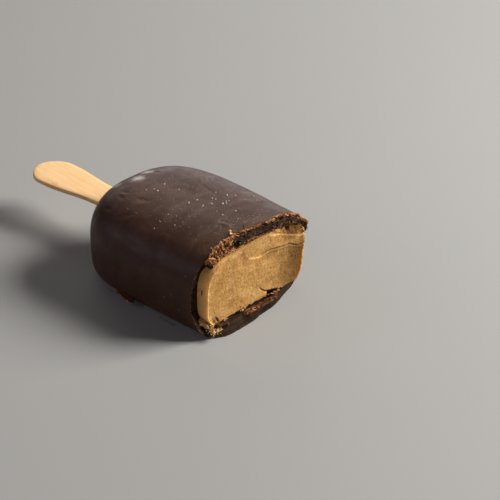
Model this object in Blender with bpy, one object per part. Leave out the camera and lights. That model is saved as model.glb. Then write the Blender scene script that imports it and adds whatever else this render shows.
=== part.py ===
"""A chocolate-coated ice cream bar on a flat wooden stick, cut across near its rounded far end.

It has three pieces: the stick, the coffee ice cream moulded round it, and the dark chocolate shell.
The shell broke unevenly when the bar was cut. Its edge stands back from the cut at the top and the
sides, so that a strip of ice cream shows, and underneath it reaches past the cut as a short lip.

The bar lies along X, stick towards -X and cut face towards +X, on its flat base at z = 0.
All sizes are in metres.
"""

from dataclasses import dataclass
from math import cos, pi, radians, sin

import bmesh
import bpy
import numpy as np

MM = 0.001

# Driving sizes.
BAR_LENGTH = 62.5 * MM  # from the stick end of the shell to the cut
BAR_HALF_WIDTH = 25.2 * MM  # of the shell, at the cut
BAR_HEIGHT = 30.6 * MM
WAIST_HEIGHT = 13.3 * MM  # level at which the bar is widest
WIDENING = 1.46  # half width gained towards the stick end, as a share per metre
SHELL_THICKNESS = 3.2 * MM
CLEARANCE = 0.3 * MM  # left between pieces that touch
STICK_LENGTH = 94 * MM
STICK_EXPOSED = 40.5 * MM
STICK_THICKNESS = 2 * MM
STICK_HALF_WIDTH = 5.45 * MM  # of its shaft
PADDLE_RADIUS = 7.8 * MM  # of its wide, held end
STICK_LEVEL = 15 * MM  # height of its middle
STICK_YAW = radians(2.8)  # the stick sits a little crooked in the bar

# The roundings of the bar: powers of the superellipses that it is made of, and how far from the
# stick end each one reaches. The far (+Y) shoulder grows squarer between two distances behind the
# cut, where the near one stays round.
SHOULDER_POWER = 2.67
FAR_SHOULDER_POWER = 3.32
FAR_SHOULDER_START = 58 * MM
FAR_SHOULDER_END = 22 * MM
INNER_SHOULDER_POWER = 3.4
BASE_POWER = 4.0
BASE_SHARE = 0.902  # the base cuts the lower superellipse off at this share of its depth
PLAN_POWER = 2.4
ROOF_POWER = 2.9
HEEL_POWER = 2.0
PLAN_RUN = 26.8 * MM
ROOF_RUN = 18.5 * MM
HEEL_RUN = 5 * MM
LEAST_HEEL_RUN = 3 * MM

# Shell edge along the break. Each row gives a place round the section, as a share of its outline
# counted from under the middle by way of -Y, and how far past the cut the outer and the inner edge
# reach there.
BREAK_EDGE = (
    (0.000, 1.7 * MM, 2.1 * MM),
    (0.020, 2.4 * MM, 2.1 * MM),
    (0.040, 2.6 * MM, 2.2 * MM),
    (0.055, 2.7 * MM, 0.9 * MM),
    (0.100, 2.8 * MM, 0.9 * MM),
    (0.115, 2.5 * MM, 0.6 * MM),
    (0.128, 1.5 * MM, 0.0 * MM),
    (0.145, 0.2 * MM, -2.4 * MM),
    (0.195, -1.7 * MM, -3.8 * MM),
    (0.225, -3.7 * MM, -4.1 * MM),
    (0.320, -3.6 * MM, -4.0 * MM),
    (0.345, -3.2 * MM, -3.4 * MM),
    (0.351, -1.9 * MM, -0.9 * MM),
    (0.385, -3.7 * MM, -0.8 * MM),
    (0.418, -4.1 * MM, -0.5 * MM),
    (0.471, -3.6 * MM, -0.4 * MM),
    (0.496, -2.7 * MM, -0.5 * MM),
    (0.553, -1.9 * MM, -0.4 * MM),
    (0.591, -2.8 * MM, -0.4 * MM),
    (0.637, -2.4 * MM, -0.5 * MM),
    (0.660, -0.6 * MM, -0.5 * MM),
    (0.676, 0.2 * MM, -0.8 * MM),
    (0.703, -1.8 * MM, -2.6 * MM),
    (0.725, -4.2 * MM, -4.4 * MM),
    (0.820, -4.4 * MM, -4.8 * MM),
    (0.860, -3.2 * MM, -3.6 * MM),
    (0.900, -1.5 * MM, -0.8 * MM),
    (0.920, -0.4 * MM, 0.6 * MM),
    (0.940, 0.6 * MM, 1.8 * MM),
    (0.980, 1.4 * MM, 2.3 * MM),
)
# A finer crumble over the top: its depth, where it starts and ends, and its waves round the section.
CRUMBLE_DEPTH = 0.3 * MM
CRUMBLE_START, CRUMBLE_END = 0.34, 0.72
CRUMBLE_WAVES = (61, 23)
FACE_LEAN = 0.04  # the cut face leans forward by this much for each metre of height

# The widest end of the lip overhangs the cut, and the origin is under the middle of the whole bar.
LIP_REACH = max(outer for _, outer, _ in BREAK_EDGE)
CUT_X = (STICK_EXPOSED + BAR_LENGTH - LIP_REACH) / 2
STICK_END_X = CUT_X - BAR_LENGTH

# The stick's paddle eases into its shaft, and its edges are rounded.
EASE_OFFSET = 2 * MM
EASE_RUN = 22 * MM
EDGE_ROUNDING = 0.35 * MM

# Facets.
SECTION_POINTS = 56
OUTLINE_SAMPLES = 4001
RINGS = 24
ARC_POINTS = 10


@dataclass(frozen=True)
class Pod:
    """One layer of the bar's flat-based, round-shouldered form, inset from the outer surface."""

    inset: float
    near_power: float
    far_power: float

    @property
    def start(self):
        return STICK_END_X + self.inset

    def points(self, x, angle):
        """Surface points at the stations x, at these angles from +Y about the waist."""
        along = np.maximum(x - self.start, 0)
        widened = (BAR_HALF_WIDTH - self.inset) * (1 + WIDENING * (CUT_X - x))
        half_width = widened * rounding(along, PLAN_RUN - self.inset, PLAN_POWER)
        rise = BAR_HEIGHT - WAIST_HEIGHT - self.inset
        drop = (WAIST_HEIGHT - self.inset) / BASE_SHARE
        above = np.sin(angle) >= 0
        squareness = eased(FAR_SHOULDER_START - (CUT_X - x), FAR_SHOULDER_START - FAR_SHOULDER_END)
        far_power = self.near_power + (self.far_power - self.near_power) * squareness
        shoulder_power = np.where(np.cos(angle) > 0, far_power, self.near_power)
        power = np.where(above, shoulder_power, BASE_POWER)
        roof = rise * rounding(along, ROOF_RUN - self.inset, ROOF_POWER)
        heel = drop * rounding(along, max(HEEL_RUN - self.inset, LEAST_HEEL_RUN), HEEL_POWER)
        y = half_width * signed_power(np.cos(angle), 2 / power)
        z = WAIST_HEIGHT + np.where(above, roof, heel) * signed_power(np.sin(angle), 2 / power)
        return np.stack([x, y, np.maximum(z, self.inset)], axis=-1)

    def pole(self):
        return np.array([self.start, 0, WAIST_HEIGHT])


def signed_power(value, power):
    return np.sign(value) * np.abs(value) ** power


def rounding(along, run, power):
    """Grows from 0 to 1 over a run, along a quarter of a superellipse."""
    left = 1 - np.clip(along / run, 0, 1)
    return (1 - left**power) ** (1 / power)


def eased(along, run):
    """0 before the run, 1 after it, and a smooth step between."""
    t = np.clip(along / run, 0, 1)
    return t * t * (3 - 2 * t)


def outer_pod():
    return Pod(0, SHOULDER_POWER, FAR_SHOULDER_POWER)


def inner_pod(inset):
    return Pod(inset, INNER_SHOULDER_POWER, INNER_SHOULDER_POWER)


def even_angles(count):
    """Angles that space points evenly along the section, and the share of the outline at each."""
    fine = np.linspace(-pi / 2, -5 * pi / 2, OUTLINE_SAMPLES)
    outline = outer_pod().points(np.full_like(fine, CUT_X), fine)
    steps = np.linalg.norm(np.diff(outline, axis=0), axis=1)
    travelled = np.concatenate([[0], np.cumsum(steps)]) / steps.sum()
    shares = np.arange(count) / count
    return np.interp(shares, travelled, fine), shares


def break_reach(shares, column):
    """How far past the cut one edge of the break reaches, with a finer crumble over the top."""
    places = [row[0] for row in BREAK_EDGE]
    reach = np.interp(shares, places, [row[column] for row in BREAK_EDGE], period=1)
    crumbling = (shares > CRUMBLE_START) & (shares < CRUMBLE_END)
    coarse, fine = (np.sin(waves * shares * 2 * pi + column) for waves in CRUMBLE_WAVES)
    return reach + CRUMBLE_DEPTH * (coarse + fine) * crumbling


def lengthwise_rings(pod, angles, end_x, count):
    """Rings from the stick end, where they crowd together, to the stations end_x."""
    rings = []
    for i in range(1, count + 1):
        share = 1 - cos(pi / 2 * i / count)
        rings.append(pod.points(pod.start + share * (end_x - pod.start), angles))
    return rings


def lofted_solid(name, first_pole, rings, last_pole, material):
    """A closed solid through rings of equal length, drawn to a point at each end."""
    bm = bmesh.new()
    start = bm.verts.new(first_pole)
    loops = [[bm.verts.new(point) for point in ring] for ring in rings]
    end = bm.verts.new(last_pole)
    count = len(loops[0])
    for i in range(count):
        after = (i + 1) % count
        bm.faces.new((start, loops[0][after], loops[0][i]))
        for near, far in zip(loops, loops[1:]):
            bm.faces.new((near[i], near[after], far[after], far[i]))
        bm.faces.new((end, loops[-1][i], loops[-1][after]))
    bmesh.ops.recalc_face_normals(bm, faces=bm.faces)
    return finished_object(name, bm, material)


def finished_object(name, bm, material):
    mesh = bpy.data.meshes.new(name)
    bm.to_mesh(mesh)
    bm.free()
    mesh.materials.append(material)
    mesh.shade_smooth()
    mesh.set_sharp_from_angle(angle=radians(40))
    part = bpy.data.objects.new(name, mesh)
    bpy.context.scene.collection.objects.link(part)
    return part


def finish(name, colour, roughness):
    material = bpy.data.materials.new(name)
    material.use_nodes = True
    shader = material.node_tree.nodes["Principled BSDF"]
    shader.inputs["Base Color"].default_value = (*colour, 1)
    shader.inputs["Roughness"].default_value = roughness
    shader.inputs["Metallic"].default_value = 0
    return material


def arc(centre_x, radius, first, last):
    turns = np.linspace(first, last, ARC_POINTS)
    return [(centre_x + radius * cos(turn), radius * sin(turn)) for turn in turns]


def stick_half_outline(grow):
    """Points of the stick's +Y edge, from its held tip to its buried tip, grown all round.

    The stick's own x is 0 where it enters the shell. The paddle eases into the narrow shaft."""
    paddle_x = PADDLE_RADIUS - STICK_EXPOSED
    ease_start = paddle_x + EASE_OFFSET
    tip_x = STICK_LENGTH - STICK_EXPOSED - STICK_HALF_WIDTH
    outline = arc(paddle_x, PADDLE_RADIUS + grow, pi, pi / 2)
    for share in np.linspace(0, 1, ARC_POINTS):
        ease = (1 + cos(pi * share)) / 2
        half_width = STICK_HALF_WIDTH + (PADDLE_RADIUS - STICK_HALF_WIDTH) * ease
        outline.append((ease_start + share * EASE_RUN, half_width + grow))
    return outline + arc(tip_x, STICK_HALF_WIDTH + grow, pi / 2, 0)


def stick_solid(name, grow, material):
    """The stick, or a larger copy of it to cut its slot, set at its level and angle."""
    half = stick_half_outline(grow)
    other_half = [(x, -y) for x, y in reversed(half[1:-1])]
    depth = STICK_THICKNESS / 2 + grow
    bm = bmesh.new()
    face = bm.faces.new([bm.verts.new((x, y, -depth)) for x, y in half + other_half])
    raised = bmesh.ops.extrude_face_region(bm, geom=[face])["geom"]
    top = [item for item in raised if isinstance(item, bmesh.types.BMVert)]
    bmesh.ops.translate(bm, verts=top, vec=(0, 0, 2 * depth))
    bmesh.ops.recalc_face_normals(bm, faces=bm.faces)
    solid = finished_object(name, bm, material)
    solid.location = (STICK_END_X, 0, STICK_LEVEL)
    solid.rotation_euler.z = STICK_YAW
    return solid


def make_stick(material):
    stick = stick_solid("stick", 0, material)
    rounded = stick.modifiers.new("eased_edges", "BEVEL")
    rounded.width = EDGE_ROUNDING
    rounded.segments = 2
    rounded.limit_method = "ANGLE"
    rounded.angle_limit = radians(60)
    return stick


def make_slot_cutter(material):
    cutter = stick_solid("stick_slot", CLEARANCE, material)
    cutter.hide_render = True
    cutter.display_type = "WIRE"
    return cutter


def cut_slot(part, cutter):
    cut = part.modifiers.new("stick_slot", "BOOLEAN")
    cut.operation = "DIFFERENCE"
    cut.solver = "EXACT"
    cut.object = cutter


def make_ice_cream(angles, material):
    pod = inner_pod(SHELL_THICKNESS + CLEARANCE)
    level_edge = pod.points(np.full_like(angles, CUT_X), angles)
    leaning_x = CUT_X + FACE_LEAN * (level_edge[:, 2] - WAIST_HEIGHT)
    rings = lengthwise_rings(pod, angles, leaning_x, RINGS)
    centre = np.array([CUT_X, 0, WAIST_HEIGHT])
    rings.append(centre + 0.5 * (rings[-1] - centre))
    return lofted_solid("ice_cream", pod.pole(), rings, centre, material)


def make_chocolate_shell(angles, shares, material):
    """A cup: its outer surface to the break, the band of the break, and its inner surface back."""
    outside = outer_pod()
    inside = inner_pod(SHELL_THICKNESS)
    outer_edge_x = CUT_X + break_reach(shares, 1)
    inner_edge_x = CUT_X + break_reach(shares, 2)
    rings = lengthwise_rings(outside, angles, outer_edge_x, RINGS)
    inner_rings = lengthwise_rings(inside, angles, inner_edge_x, RINGS)
    rings.append((rings[-1] + inner_rings[-1]) / 2)
    rings.extend(reversed(inner_rings))
    return lofted_solid("chocolate_shell", outside.pole(), rings, inside.pole(), material)


def main():
    for leftover in list(bpy.data.objects):
        bpy.data.objects.remove(leftover)
    wood = finish("wood", (0.72, 0.50, 0.29), 0.6)
    coffee_ice_cream = finish("coffee_ice_cream", (0.50, 0.33, 0.15), 0.55)
    dark_chocolate = finish("dark_chocolate", (0.035, 0.019, 0.014), 0.35)
    angles, shares = even_angles(SECTION_POINTS)
    make_stick(wood)
    cutter = make_slot_cutter(wood)
    cut_slot(make_ice_cream(angles, coffee_ice_cream), cutter)
    cut_slot(make_chocolate_shell(angles, shares, dark_chocolate), cutter)


main()
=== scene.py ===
"""Looks of the cut ice cream bar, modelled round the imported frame.

The CAD gives the bar's place and sizes. Each node is replaced by a finer mesh of the same form: the
shell with its crumbled break, the ice cream with its pitted cut face, and the grained stick. Crumbs,
shavings and frost are small meshes of their own.

Shapes are worked out in bar coordinates: millimetres, with x counted from the cut, negative towards
the stick. A place round the bar is a share of the section's outline, counted from under the middle
by way of -Y. placed() turns bar coordinates into the frame's metres.
"""

from math import cos, pi, radians, sin, sqrt

import bmesh
import bpy
import numpy as np
from mathutils import Matrix, Vector, noise


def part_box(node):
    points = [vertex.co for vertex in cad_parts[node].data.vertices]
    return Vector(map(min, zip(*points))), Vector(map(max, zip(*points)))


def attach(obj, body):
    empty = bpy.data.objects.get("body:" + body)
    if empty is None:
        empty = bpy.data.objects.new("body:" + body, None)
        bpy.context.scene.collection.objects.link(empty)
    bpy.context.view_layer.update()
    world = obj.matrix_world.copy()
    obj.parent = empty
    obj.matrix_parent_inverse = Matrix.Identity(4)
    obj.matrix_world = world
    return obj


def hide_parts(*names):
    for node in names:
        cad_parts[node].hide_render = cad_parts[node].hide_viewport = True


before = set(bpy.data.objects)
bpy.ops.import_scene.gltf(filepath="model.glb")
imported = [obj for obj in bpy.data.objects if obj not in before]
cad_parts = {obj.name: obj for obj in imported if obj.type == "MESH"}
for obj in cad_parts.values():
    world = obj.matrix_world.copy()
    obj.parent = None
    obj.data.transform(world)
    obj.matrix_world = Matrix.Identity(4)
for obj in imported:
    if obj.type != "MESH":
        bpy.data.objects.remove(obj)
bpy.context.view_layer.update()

MM = 0.001
SHELL_LOW, SHELL_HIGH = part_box("chocolate_shell")
ICE_LOW, ICE_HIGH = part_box("ice_cream")
STICK_LOW, STICK_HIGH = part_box("stick")

# The bar's form, as the CAD has it, in millimetres.
BAR_LENGTH = 62.5
BAR_HALF_WIDTH = 25.2
BAR_HEIGHT = SHELL_HIGH.z / MM
WAIST_HEIGHT = 13.3
WIDENING = 0.00146  # share of the half width gained for each millimetre towards the stick
CUT_X = SHELL_LOW.x + BAR_LENGTH * MM
SHELL_THICKNESS = 3.2
ICE_INSET = 3.3
SHOULDER_POWER = 2.67
FAR_SHOULDER_POWER = 3.32
INNER_SHOULDER_POWER = 3.4
BASE_POWER = 4.0
BASE_SHARE = 0.902
FACE_LEAN = 0.04
STICK_EXPOSED = (SHELL_LOW.x - STICK_LOW.x) / MM
STICK_LENGTH = 94.0
STICK_LEVEL = (STICK_LOW.z + STICK_HIGH.z) / 2 / MM
STICK_THICKNESS = (STICK_HIGH.z - STICK_LOW.z) / MM
STICK_YAW = radians(2.8)
STICK_HALF_WIDTH = 5.45
PADDLE_RADIUS = 7.8


# ---------------------------------------------------------------- the bar's form


def signed_power(value, power):
    return np.sign(value) * np.abs(value) ** power


def rounding(along, run, power):
    left = 1 - np.clip(along / run, 0, 1)
    return (1 - left**power) ** (1 / power)


def smooth(value, low, high):
    """0 below low, 1 above high, and an easy step between."""
    t = np.clip((value - low) / (high - low), 0, 1)
    return t * t * (3 - 2 * t)


def skin_shoulder(x, angle):
    """The skin's shoulders are rounder on the near side, and on both sides at the stick end."""
    far = smooth(x, -58, -22) * (np.cos(angle) > 0)
    return SHOULDER_POWER + (FAR_SHOULDER_POWER - SHOULDER_POWER) * far


def pod_points(inset, shoulder_power, x, angle):
    """Points of one layer of the bar, inset from its outer surface, at stations x and angles."""
    along = np.maximum(x + BAR_LENGTH - inset, 0)
    widened = (BAR_HALF_WIDTH - inset) * (1 - WIDENING * x)
    half_width = widened * rounding(along, 26.8 - inset, 2.4)
    above = np.sin(angle) >= 0
    power = np.where(above, shoulder_power, BASE_POWER)
    roof = (BAR_HEIGHT - WAIST_HEIGHT - inset) * rounding(along, 18.5 - inset, 2.9)
    heel = (WAIST_HEIGHT - inset) / BASE_SHARE * rounding(along, max(5 - inset, 3), 2)
    y = half_width * signed_power(np.cos(angle), 2 / power)
    z = WAIST_HEIGHT + np.where(above, roof, heel) * signed_power(np.sin(angle), 2 / power)
    return np.stack([x + 0 * y, y, np.maximum(z, inset)], axis=-1)


def skin_points(x, angle):
    return pod_points(0, skin_shoulder(x, angle), x, angle)


def outline_table():
    """Angles along the section at the cut, with the share of the outline reached at each."""
    fine = np.linspace(-pi / 2, -5 * pi / 2, 4001)
    outline = skin_points(np.zeros_like(fine), fine)
    travelled = np.concatenate([[0], np.cumsum(np.linalg.norm(np.diff(outline, axis=0), axis=1))])
    return fine, travelled / travelled[-1], travelled[-1]


FINE_ANGLES, FINE_SHARES, OUTLINE = outline_table()


def angles_at(shares):
    return np.interp(np.mod(shares, 1), FINE_SHARES, FINE_ANGLES)


def placed(points):
    """Bar coordinates as the frame's metres."""
    return np.asarray(points) * MM + (CUT_X, 0, 0)


# ---------------------------------------------------------------- noise and windows


def noise_at(points, size, seed=0.0):
    """Smooth noise from -1 to 1 with bumps of about this size."""
    offset = (seed * 17.3, seed * 5.1, seed * 31.7)
    scaled = (points / size + offset).reshape(-1, 3).tolist()
    return np.array([noise.noise(p) for p in scaled]).reshape(points.shape[:-1])


def fractal_at(points, size, octaves=4, seed=0.0):
    offset = (seed * 13.9, seed * 7.7, seed * 3.3)
    scaled = (points / size + offset).reshape(-1, 3).tolist()
    values = [noise.fractal(p, 0.9, 2.1, octaves) for p in scaled]
    return np.array(values).reshape(points.shape[:-1])


def facets_at(points, size, seed=0.0):
    """Flat, tilted facets with steps between them, like a fracture: about -1 to 1."""
    offset = np.array([seed * 3.7, seed * 9.1, seed * 1.9])
    values = []
    for p in (points / size + offset).reshape(-1, 3).tolist():
        nearest = noise.voronoi(p)[1][0]
        tilt = noise.cell_vector(nearest * 7.3)
        lift = noise.cell(nearest * 3.1 + Vector((5.5, 1.5, 2.5)))
        values.append(0.6 * (lift * 2 - 1) + 1.4 * (Vector(p) - nearest).dot(tilt * 2 - Vector((1, 1, 1))))
    return np.array(values).reshape(points.shape[:-1])


def window(value, start, end, ease):
    return smooth(value, start - ease, start + ease) * (1 - smooth(value, end - ease, end + ease))


def blob(a, b, centre_a, centre_b, length, width, turn=0.0):
    """A soft oval bump of height 1 on a surface with coordinates a and b."""
    da, db = a - centre_a, b - centre_b
    along = (da * cos(turn) + db * sin(turn)) / length
    across = (db * cos(turn) - da * sin(turn)) / width
    return np.exp(-(along**2) - across**2)


# ---------------------------------------------------------------- meshes


def grid_normals(grid):
    """Unit normals of a (row, column, xyz) grid whose columns go right round."""
    down = np.gradient(grid, axis=0)
    across = np.roll(grid, -1, axis=1) - np.roll(grid, 1, axis=1)
    normals = np.cross(across, down)
    return normals / np.maximum(np.linalg.norm(normals, axis=-1, keepdims=True), 1e-9)


def new_piece(name, points, faces, materials):
    """A piece of the model, from bar coordinates, that rides the bar's one body."""
    mesh = bpy.data.meshes.new(name)
    mesh.from_pydata(placed(points).tolist(), [], faces)
    for material in materials:
        mesh.materials.append(material)
    mesh.shade_smooth()
    mesh.update()
    piece = bpy.data.objects.new(name, mesh)
    bpy.context.scene.collection.objects.link(piece)
    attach(piece, "root")
    return piece


def add_attribute(piece, name, values):
    made = piece.data.attributes.new(name, "FLOAT", "POINT")
    made.data.foreach_set("value", np.asarray(values, np.float32))


def lofted_faces(rows, columns):
    """Quads between rings, with a fan to a point at each end. Point 0 is the first end."""
    index = 1 + np.arange(rows * columns).reshape(rows, columns)
    after = np.roll(index, -1, axis=1)
    last = rows * columns + 1
    quads = np.stack([index[:-1], after[:-1], after[1:], index[1:]], -1).reshape(-1, 4)
    first_fan = [(0, b, a) for a, b in zip(index[0].tolist(), after[0].tolist())]
    last_fan = [(last, a, b) for a, b in zip(index[-1].tolist(), after[-1].tolist())]
    return first_fan + quads.tolist() + last_fan


def lofted_piece(name, first, grid, last, materials):
    rows, columns, _ = grid.shape
    points = np.concatenate([[first], grid.reshape(-1, 3), [last]])
    return new_piece(name, points, lofted_faces(rows, columns), materials)


def round_form(subdivisions):
    bm = bmesh.new()
    bmesh.ops.create_icosphere(bm, subdivisions=subdivisions, radius=1)
    points = np.array([vert.co[:] for vert in bm.verts])
    faces = np.array([[vert.index for vert in face.verts] for face in bm.faces])
    bm.free()
    return points, faces


class Chunks:
    """Gathers small chunks into one mesh. Each chunk has its own tone, from 0 to 1."""

    CRUMB_POINTS, CRUMB_FACES = round_form(1)
    LUMP_POINTS, LUMP_FACES = round_form(3)
    STRIP_STEPS = 7

    def __init__(self, seed):
        self.random = np.random.default_rng(seed)
        self.points, self.faces, self.tones = [], [], []

    def add(self, points, faces, tone=None):
        start = len(self.points)
        tone = self.random.uniform(0, 1) if tone is None else tone
        self.points.extend(points.tolist())
        self.faces.extend((np.asarray(faces) + start).tolist())
        self.tones.extend([tone] * len(points))

    def axes(self, along=None):
        """Three unit axes, the first one along a direction, or all random."""
        first = np.array(self.random.normal(size=3) if along is None else along, float)
        first /= np.linalg.norm(first)
        second = np.cross(first, self.random.normal(size=3))
        second /= np.linalg.norm(second)
        return np.stack([first, second, np.cross(first, second)])

    def add_crumb(self, centre, sizes, along=None, tone=None):
        """An angular crumb with these full sizes along its three axes."""
        reach = self.random.uniform(0.55, 1, (len(self.CRUMB_POINTS), 1))
        local = self.CRUMB_POINTS * reach * np.array(sizes) / 2
        self.add(np.array(centre) + local @ self.axes(along), self.CRUMB_FACES, tone)

    def add_lump(self, centre, sizes, along=None, tone=None):
        """A soft, uneven lump with these full sizes along its three axes."""
        seed = self.random.uniform(0, 50)
        uneven = 0.45 * fractal_at(self.LUMP_POINTS, 1.1, 3, seed) + 0.22 * facets_at(self.LUMP_POINTS, 0.45, seed)
        local = self.LUMP_POINTS * (0.85 + uneven)[:, None] * np.array(sizes) / 2
        self.add(np.array(centre) + local @ self.axes(along), self.LUMP_FACES, tone)

    def add_shaving(self, centre, along, sizes, bend, tone=None):
        """A thin strip of this length, width and thickness, bent through an angle."""
        length, width, thickness = sizes
        turns = np.linspace(-bend / 2, bend / 2, self.STRIP_STEPS)
        radius = length / bend
        taper = 0.35 + 0.65 * np.sin(np.linspace(0.15, 0.9, self.STRIP_STEPS) * pi)
        rings = []
        for turn, narrow in zip(turns, taper):
            out = np.array([sin(turn), 0, cos(turn)])
            spine = out * radius - (0, 0, radius)
            side = np.array([0, width / 2 * narrow, 0])
            half = out * thickness / 2
            rings.append([spine - side - half, spine + side - half, spine + side + half, spine - side + half])
        points = np.array(rings).reshape(-1, 3) @ self.axes(along) + centre
        faces = []
        for i in range(self.STRIP_STEPS - 1):
            for a in range(4):
                b = (a + 1) % 4
                faces.append((4 * i + a, 4 * i + b, 4 * i + 4 + b, 4 * i + 4 + a))
        last = 4 * (self.STRIP_STEPS - 1)
        self.add(points, faces + [(3, 2, 1, 0), (last, last + 1, last + 2, last + 3)], tone)

    def piece(self, name, material, slot, smooth_angle=35):
        piece = new_piece(name, np.array(self.points), self.faces, [material])
        piece.data.set_sharp_from_angle(angle=radians(smooth_angle))
        add_attribute(piece, "tone", self.tones)


# ---------------------------------------------------------------- materials


class Finish:
    """Builds one material's node tree. Sizes are in metres, in object space."""

    def __init__(self, name):
        self.material = bpy.data.materials.new(name)
        self.material.use_nodes = True
        self.tree = self.material.node_tree
        self.shader = self.tree.nodes["Principled BSDF"]
        self.place = self.tree.nodes.new("ShaderNodeTexCoord").outputs["Object"]

    def link(self, source, socket):
        self.tree.links.new(source, socket)

    def feed(self, socket, value):
        if isinstance(value, bpy.types.NodeSocket):
            self.link(value, socket)
        elif isinstance(value, tuple) and len(socket.default_value) == 4:
            socket.default_value = (*value, 1)
        else:
            socket.default_value = value

    def stretched(self, scale):
        node = self.tree.nodes.new("ShaderNodeMapping")
        node.inputs["Scale"].default_value = scale
        self.link(self.place, node.inputs["Vector"])
        return node.outputs["Vector"]

    def noise(self, size, detail=3.0, rough=0.5, distortion=0.0, place=None):
        node = self.tree.nodes.new("ShaderNodeTexNoise")
        node.inputs["Scale"].default_value = 1 / size
        node.inputs["Detail"].default_value = detail
        node.inputs["Roughness"].default_value = rough
        node.inputs["Distortion"].default_value = distortion
        self.link(place or self.place, node.inputs["Vector"])
        return node.outputs["Fac"]

    def cells(self, size, place=None):
        """Distance to the nearest of many scattered points, as a share of their spacing."""
        node = self.tree.nodes.new("ShaderNodeTexVoronoi")
        node.inputs["Scale"].default_value = 1 / size
        self.link(place or self.place, node.inputs["Vector"])
        return node.outputs["Distance"]

    def height(self):
        """Level above the ground, in millimetres."""
        node = self.tree.nodes.new("ShaderNodeSeparateXYZ")
        self.link(self.place, node.inputs[0])
        return self.math("DIVIDE", node.outputs["Z"], MM)

    def attribute(self, name):
        node = self.tree.nodes.new("ShaderNodeAttribute")
        node.attribute_name = name
        return node.outputs["Fac"]

    def near(self, point, radius):
        """1 at a point given in bar coordinates, falling to 0 at the radius in millimetres."""
        node = self.tree.nodes.new("ShaderNodeVectorMath")
        node.operation = "DISTANCE"
        self.link(self.place, node.inputs[0])
        node.inputs[1].default_value = placed(point)
        return self.ranged(node.outputs["Value"], 0, radius * MM, 1, 0)

    def ranged(self, value, low, high, to_low=0.0, to_high=1.0):
        node = self.tree.nodes.new("ShaderNodeMapRange")
        self.link(value, node.inputs["Value"])
        for name, number in zip(("From Min", "From Max", "To Min", "To Max"), (low, high, to_low, to_high)):
            node.inputs[name].default_value = number
        return node.outputs["Result"]

    def math(self, operation, a, b=0.0):
        node = self.tree.nodes.new("ShaderNodeMath")
        node.operation = operation
        self.feed(node.inputs[0], a)
        self.feed(node.inputs[1], b)
        return node.outputs["Value"]

    def mix(self, share, first, second):
        node = self.tree.nodes.new("ShaderNodeMix")
        node.data_type = "RGBA"
        self.feed(node.inputs[0], share)
        self.feed(node.inputs[6], first)
        self.feed(node.inputs[7], second)
        return node.outputs[2]

    def bump(self, height, depth, before=None):
        node = self.tree.nodes.new("ShaderNodeBump")
        node.inputs["Distance"].default_value = depth
        self.link(height, node.inputs["Height"])
        if before is not None:
            self.link(before, node.inputs["Normal"])
        return node.outputs["Normal"]

    def done(self, colour, roughness, normal=None, **uniform):
        self.feed(self.shader.inputs["Base Color"], colour)
        self.feed(self.shader.inputs["Roughness"], roughness)
        if normal is not None:
            self.link(normal, self.shader.inputs["Normal"])
        for name, value in uniform.items():
            self.shader.inputs[name.replace("_", " ")].default_value = value
        return self.material


def chocolate_skin():
    f = Finish("dark_chocolate_skin")
    clouds = f.noise(0.012, 3, 0.55, 0.4)
    smears = f.noise(0.005, 4, 0.6, place=f.stretched((1, 0.5, 1)))
    haze = f.math("MULTIPLY", f.ranged(smears, 0.48, 0.72), f.ranged(f.height(), 22, 30, 0.25, 0.75))
    colour = f.mix(f.ranged(clouds, 0.35, 0.65), (0.042, 0.0180, 0.0112), (0.056, 0.0255, 0.0155))
    colour = f.mix(haze, colour, (0.096, 0.053, 0.035))
    patch = f.math("MAXIMUM", f.near((-52.1, -2.1, 30), 4.2), f.near((-55.6, -8.6, 28.0), 3.6))
    patch = f.math("MAXIMUM", patch, f.near((-53.6, 3.2, 29.5), 3.4))
    flecks = f.noise(0.0019, 8, 0.78, 0.8, place=f.stretched((1, 0.6, 1)))
    flecks = f.ranged(f.math("ADD", flecks, f.math("MULTIPLY", patch, 0.36)), 0.62, 0.84)
    frost = f.math("MULTIPLY", f.ranged(patch, 0.0, 0.25), flecks)
    colour = f.mix(f.math("MULTIPLY", frost, 0.9), colour, (0.46, 0.43, 0.415))
    roughness = f.ranged(f.noise(0.004, 4, 0.6), 0.3, 0.7, 0.34, 0.5)
    normal = f.bump(f.noise(0.0025, 5, 0.6), 0.00010)
    normal = f.bump(f.noise(0.0004, 2, 0.5), 0.000010, normal)
    return f.done(colour, roughness, normal, Specular_IOR_Level=0.20)


def broken_chocolate():
    """The face of the break: brown and smooth, turning orange where the shell has crumbled."""
    f = Finish("broken_chocolate")
    streaks = f.noise(0.0007, 4, 0.65, place=f.stretched((1, 0.18, 0.8)))
    flecks = f.noise(0.0006, 4, 0.7)
    colour = f.mix(f.ranged(streaks, 0.40, 0.62), (0.011, 0.006, 0.004), (0.048, 0.025, 0.014))
    # Painted shadow: the broken face is darker low down, over the lip.
    colour = f.mix(f.ranged(f.height(), 4.5, 9.0, 0.5, 0), colour, (0.021, 0.011, 0.006))
    crumble = f.math("ADD", f.attribute("crumble"), f.ranged(flecks, 0.3, 0.7, -0.4, 0.4))
    colour = f.mix(f.ranged(crumble, 0.30, 0.55), colour, (0.25, 0.104, 0.041))
    colour = f.mix(f.ranged(crumble, 0.65, 1.0), colour, (0.62, 0.31, 0.14))
    normal = f.bump(f.noise(0.0003, 4, 0.65), 0.00010)
    normal = f.bump(streaks, 0.00016, normal)
    return f.done(colour, 0.75, normal, Specular_IOR_Level=0.07)


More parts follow.
